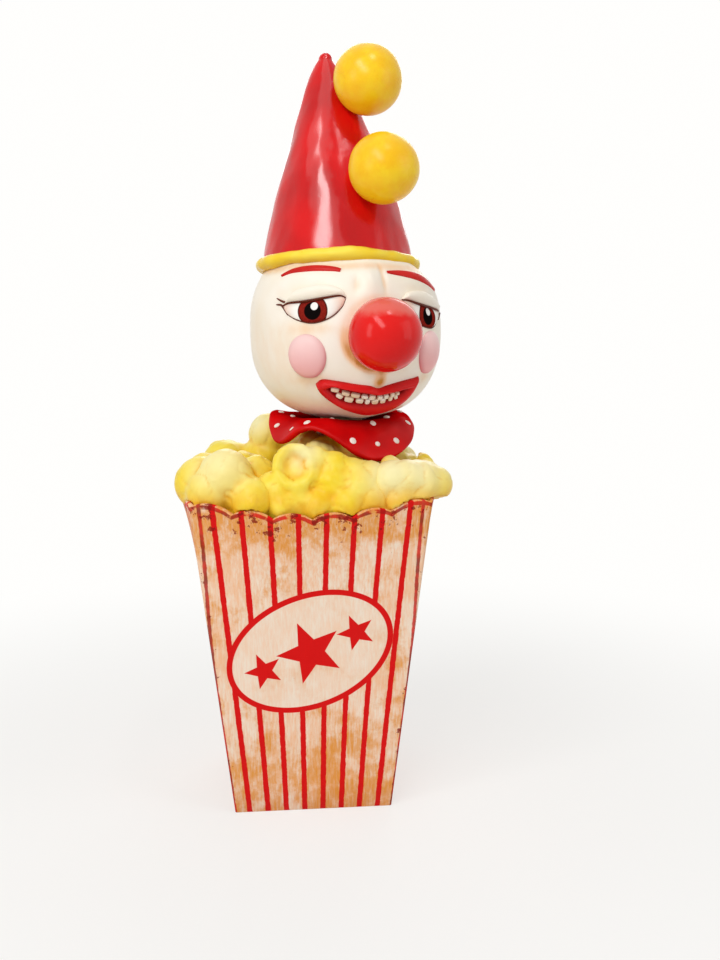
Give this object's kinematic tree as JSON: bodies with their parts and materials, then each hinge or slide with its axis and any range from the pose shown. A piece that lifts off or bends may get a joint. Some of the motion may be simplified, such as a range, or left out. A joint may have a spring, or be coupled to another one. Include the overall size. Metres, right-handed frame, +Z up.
{
  "type": "jack in the box",
  "caption": "Spring-up clown bust with a swivelling head and a tall hat, rising out of popcorn in a tapered, striped open box with a scalloped rim.",
  "frame": {"origin": "middle of the box's underside, on the surface that it stands on", "axes": "+Z up, -Y towards the front wall with the oval, +X to the viewer's right"},
  "size_m": [0.1619, 0.1626, 0.4516],
  "materials": {
    "striped_board": "cream paint with red stripes, worn, brown wash, satin varnish",
    "plain_wood": "bare sanded wood",
    "steel": "plain drawn wire",
    "popcorn": "yellow and cream paint on paper pulp, gloss varnish",
    "red_varnish": "red paint on paper pulp, gloss varnish",
    "face_white": "cream paint on paper pulp, warm wash, gloss varnish",
    "cheek_pink": "pink paint on paper pulp, gloss varnish",
    "eye_paint": "white with a dark brown painted iris, gloss varnish",
    "tooth": "cream paint, gloss varnish",
    "yellow_paint": "yellow paint on paper pulp, satin varnish"
  },
  "bodies": {
    "box": {"front_panel": "striped_board", "right_panel": "striped_board", "back_panel": "striped_board", "left_panel": "striped_board", "bottom_board": "plain_wood", "corner_battens": "plain_wood", "board_cleats": "plain_wood", "guide_board": "plain_wood", "guide_bush": "plain_wood", "spring_cup": "plain_wood", "cup_screw": "steel", "spring": "steel", "popcorn_front_left": "popcorn", "popcorn_front": "popcorn", "popcorn_front_right": "popcorn", "popcorn_rear_right": "popcorn", "popcorn_rear": "popcorn", "popcorn_rear_left": "popcorn", "popcorn_left": "popcorn"},
    "jack": {"lift_plate": "plain_wood", "plate_screw": "steel", "stem": "plain_wood", "bust_pin": "plain_wood", "bust_core": "popcorn", "bust_popcorn": "popcorn", "neck_ring": "plain_wood", "collar": "red_varnish"},
    "head": {"head": "face_white", "neck_socket": "plain_wood", "nose": "red_varnish", "cheek_left": "cheek_pink", "cheek_right": "cheek_pink", "eye_left": "eye_paint", "eye_right": "eye_paint", "eyelid_left": "face_white", "eyelid_right": "face_white", "brow_left": "red_varnish", "brow_right": "red_varnish", "lips": "red_varnish", "teeth": "tooth", "hat": "red_varnish", "hat_band": "yellow_paint", "pompom_upper": "yellow_paint", "pompom_lower": "yellow_paint", "pompom_pins": "plain_wood"}
  },
  "joints": [
    {"name": "pop_up", "type": "slide", "parent": "box", "child": "jack", "axis": [0, 0, 1], "range_m": [-0.022, 0], "stiffness_N_per_m": 300, "springref_m": 0.025, "deforming": ["spring"]},
    {"name": "head_turn", "type": "hinge", "parent": "jack", "child": "head", "pos_m": [0.022, 0, 0.2303], "axis": [0, 0, 1], "continuous": true}
  ]
}
